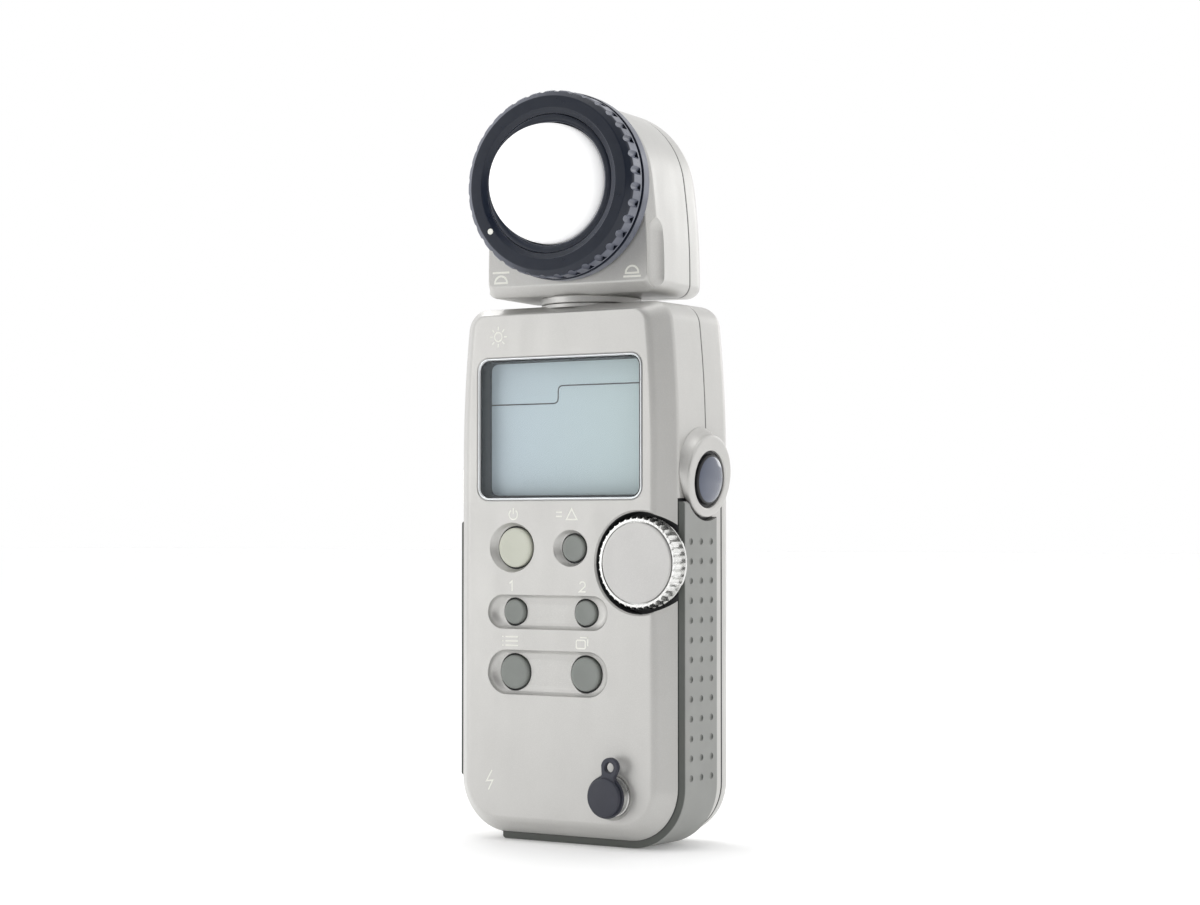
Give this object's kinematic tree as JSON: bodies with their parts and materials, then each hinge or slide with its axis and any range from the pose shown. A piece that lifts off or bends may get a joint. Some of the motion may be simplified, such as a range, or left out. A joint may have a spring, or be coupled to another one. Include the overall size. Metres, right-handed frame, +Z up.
{
  "type": "handheld light meter",
  "caption": "Handheld photographic light meter: slim body with display, keys, jog wheel and side button, under a swivelling head with a ring that raises and lowers a white dome.",
  "frame": {"origin": "centre of the tripod socket's mouth in the plane of the base, on the neck's swivel axis", "axes": "+Z up along the body's length, -Y towards the user's view of the display, +X to the user's right"},
  "size_m": [0.0602, 0.0492, 0.1557],
  "materials": {
    "champagne_shell": "fine satin metallic paint on moulded plastic",
    "clear_window": "clear moulded window",
    "bezel": "bright narrow rim",
    "display_glass": "grey-green liquid crystal panel",
    "diffuser_white": "translucent milk white",
    "circuit_board": "green solder mask",
    "black_plastic": "matte black moulding",
    "dark_liner": "dark grey moulding",
    "grip_rubber": "soft grey rubber",
    "cap_rubber": "blue-black rubber",
    "bright_metal": "nickel plate",
    "screw_steel": "plated steel",
    "spring_steel": "nickel plated spring steel",
    "contact_brass": "gold plated contact",
    "cell_jacket": "printed jacket, plain",
    "switch_block": "small red switch block with white sliders",
    "ring_black": "blue-black satin anodised look",
    "index_white": "white index fill",
    "filter_glass": "bluish correction filter",
    "sensor_can": "photo cell in a steel can",
    "jog_metal": "bright knurled plating",
    "jog_face": "satin champagne disc",
    "power_key": "pale cream-green key",
    "key_grey": "mid grey key",
    "measure_gloss": "glossy blue-black domed button",
    "latch_grey": "grey latch slider"
  },
  "bodies": {
    "body": {"front_shell": "champagne_shell", "rear_shell": "champagne_shell", "display_window": "clear_window", "display_bezel": "bezel", "display_gasket": "black_plastic", "display_panel": "display_glass", "backlight_panel": "diffuser_white", "main_board": "circuit_board", "key_mat": "grip_rubber", "key_switches": "black_plastic", "right_grip": "grip_rubber", "left_grip": "grip_rubber", "button_surround": "champagne_shell", "measure_switch": "black_plastic", "strap_lug": "bright_metal", "sync_terminal": "bright_metal", "sync_insulator": "black_plastic", "sync_contact": "contact_brass", "jog_encoder": "black_plastic", "battery_bay": "dark_liner", "battery_cell": "cell_jacket", "battery_spring": "spring_steel", "battery_plate": "spring_steel", "setting_switches": "switch_block", "tripod_bush": "bright_metal", "neck_base": "champagne_shell", "swivel_bush": "dark_liner", "shell_screws": "screw_steel", "cover_hinge_pin": "screw_steel"},
    "head": {"head_front": "champagne_shell", "head_rear": "champagne_shell", "neck_disc": "champagne_shell", "swivel_tube": "screw_steel", "swivel_clip": "dark_liner", "ring_barrel": "ring_black", "light_baffle": "black_plastic", "sensor_filter": "filter_glass", "photo_sensor": "sensor_can", "sensor_board": "circuit_board", "head_screws": "screw_steel"},
    "ring": {"dome_ring": "ring_black", "index_dot": "index_white"},
    "dome": {"dome": "diffuser_white", "dome_carrier": "ring_black"},
    "jog": {"jog_wheel": "jog_metal", "jog_disc": "jog_face", "jog_shaft": "screw_steel"},
    "power_key": {"power_button": "power_key"},
    "average_key": {"average_button": "key_grey"},
    "speed_key_1": {"speed_button_1": "key_grey"},
    "speed_key_2": {"speed_button_2": "key_grey"},
    "mode_key": {"mode_button": "key_grey"},
    "memory_key": {"memory_button": "key_grey"},
    "measure_key": {"measure_button": "measure_gloss"},
    "cap": {"terminal_cap": "cap_rubber"},
    "cover": {"battery_cover": "champagne_shell"},
    "latch": {"cover_latch": "latch_grey"}
  },
  "joints": [
    {"name": "head_swivel", "type": "hinge", "parent": "body", "child": "head", "pos_m": [0, 0, 0.114], "axis": [0, 0, 1], "range_deg": [-186, 84]},
    {"name": "ring_turn", "type": "hinge", "parent": "head", "child": "ring", "pos_m": [0.00167, -0.01591, 0.1362], "axis": [0.1045, -0.9945, 0], "range_deg": [0, 110]},
    {"name": "dome_lower", "type": "slide", "parent": "head", "child": "dome", "axis": [-0.1045, 0.9945, 0], "range_m": [0, 0.0118]},
    {"name": "jog_turn", "type": "hinge", "parent": "body", "child": "jog", "pos_m": [0.0197, -0.011, 0.05835], "axis": [0, -1, 0], "continuous": true},
    {"name": "power_press", "type": "slide", "parent": "body", "child": "power_key", "axis": [0, 1, 0], "range_m": [0, 0.0006], "stiffness_N_per_m": 600, "springref_m": -0.0002},
    {"name": "average_press", "type": "slide", "parent": "body", "child": "average_key", "axis": [0, 1, 0], "range_m": [0, 0.0006], "stiffness_N_per_m": 600, "springref_m": -0.0002},
    {"name": "speed_press_1", "type": "slide", "parent": "body", "child": "speed_key_1", "axis": [0, 1, 0], "range_m": [0, 0.0006], "stiffness_N_per_m": 600, "springref_m": -0.0002},
    {"name": "speed_press_2", "type": "slide", "parent": "body", "child": "speed_key_2", "axis": [0, 1, 0], "range_m": [0, 0.0006], "stiffness_N_per_m": 600, "springref_m": -0.0002},
    {"name": "mode_press", "type": "slide", "parent": "body", "child": "mode_key", "axis": [0, 1, 0], "range_m": [0, 0.0006], "stiffness_N_per_m": 600, "springref_m": -0.0002},
    {"name": "memory_press", "type": "slide", "parent": "body", "child": "memory_key", "axis": [0, 1, 0], "range_m": [0, 0.0006], "stiffness_N_per_m": 600, "springref_m": -0.0002},
    {"name": "measure_press", "type": "slide", "parent": "body", "child": "measure_key", "axis": [-0.9962, 0, 0.0872], "range_m": [0, 0.001], "stiffness_N_per_m": 600, "springref_m": -0.0002},
    {"name": "cap_pull", "type": "slide", "parent": "body", "child": "cap", "axis": [0, -1, 0], "range_m": [0, 0.012]},
    {"name": "cover_open", "type": "hinge", "parent": "body", "child": "cover", "pos_m": [0, 0.0106, 0.0158], "axis": [-1, 0, 0], "range_deg": [0, 90]},
    {"name": "latch_slide", "type": "slide", "parent": "cover", "child": "latch", "axis": [0, 0, -1], "range_m": [0, 0.0022], "stiffness_N_per_m": 300, "springref_m": -0.0002}
  ],
  "couplings": [
    {"joint": "dome_lower", "follows": "ring_turn", "m_per_rad": 0.0061457}
  ]
}
